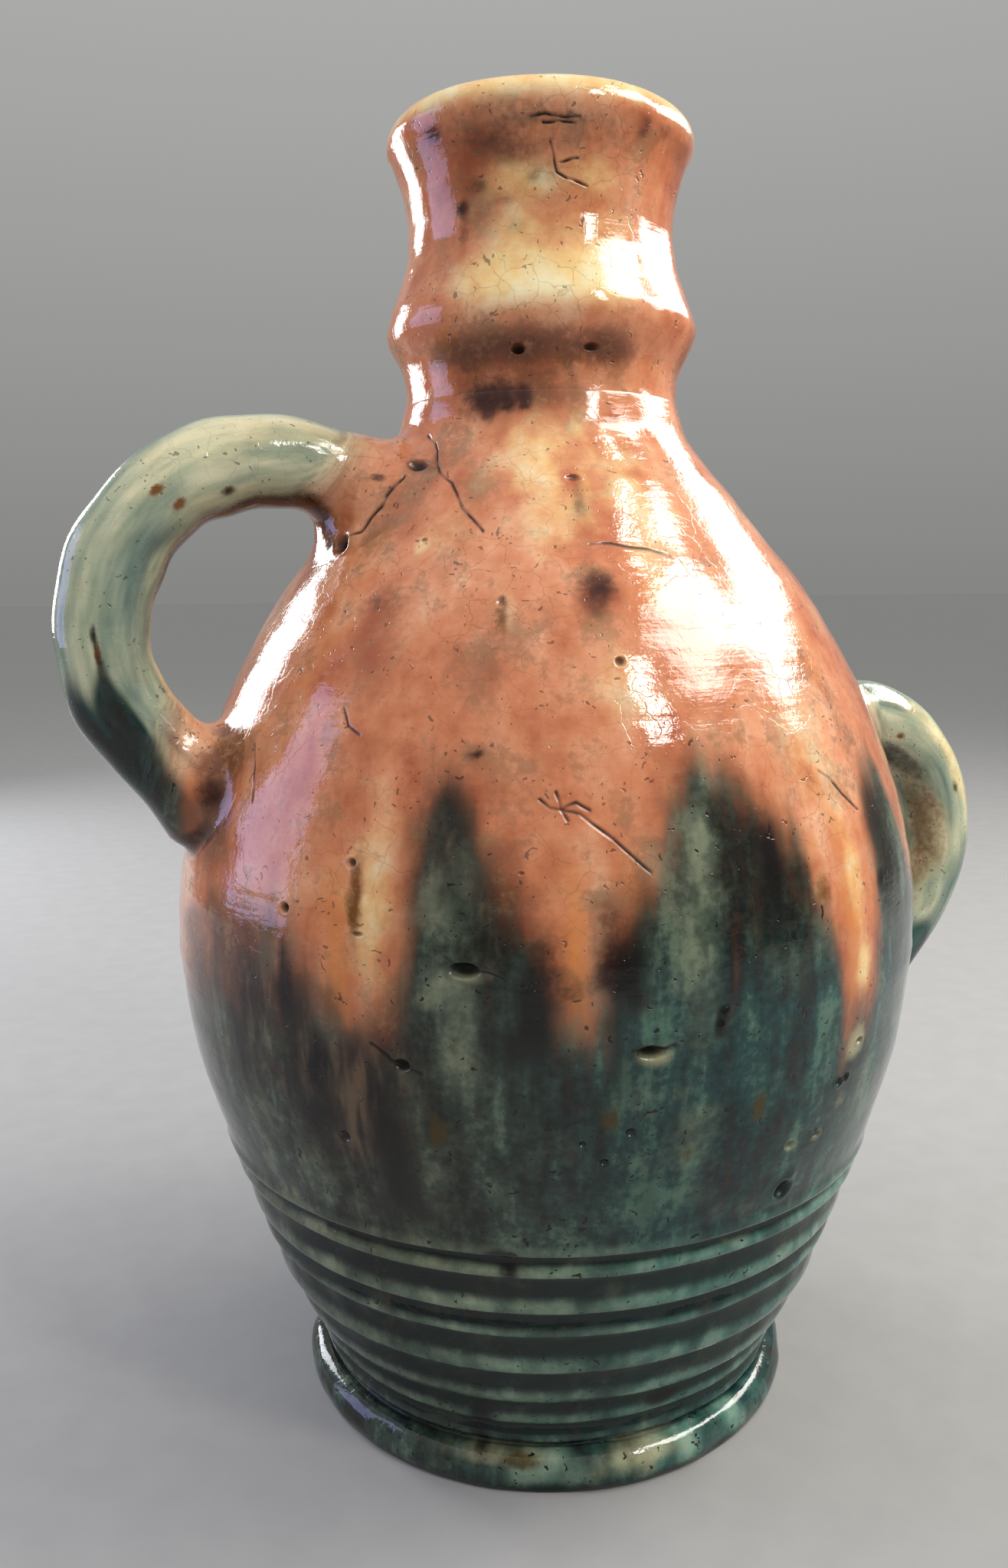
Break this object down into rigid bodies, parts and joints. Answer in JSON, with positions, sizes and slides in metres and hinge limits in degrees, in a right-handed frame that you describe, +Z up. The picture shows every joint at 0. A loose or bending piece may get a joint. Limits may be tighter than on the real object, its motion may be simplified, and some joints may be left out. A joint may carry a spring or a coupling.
{
  "type": "two-handled vase",
  "caption": "Thrown stoneware vase with a swelling ribbed body, a ringed neck with a rolled lip, a coiled foot and two round pulled handles set at different heights.",
  "frame": {"origin": "middle of the flat underside, on the throwing axis", "axes": "+Z up the throwing axis; both handles lie in the XZ plane, the shoulder handle on -X and the lower side handle on +X"},
  "size_m": [0.2284, 0.1638, 0.275],
  "materials": {
    "body": "glossy crazed glaze, tan above and dark teal green below",
    "neck": "glossy crazed tan glaze with brown mottling",
    "foot": "glossy dark teal glaze",
    "shoulder_handle": "glossy pale celadon glaze with blue streaks",
    "side_handle": "glossy cream to olive glaze",
    "collars": "glossy tan glaze"
  },
  "bodies": {
    "root": {"body": "body", "neck": "neck", "foot_ring": "foot", "shoulder_handle": "shoulder_handle", "shoulder_handle_upper_collar": "collars", "shoulder_handle_lower_collar": "collars", "side_handle": "side_handle", "side_handle_upper_collar": "collars", "side_handle_lower_collar": "collars"}
  },
  "joints": []
}
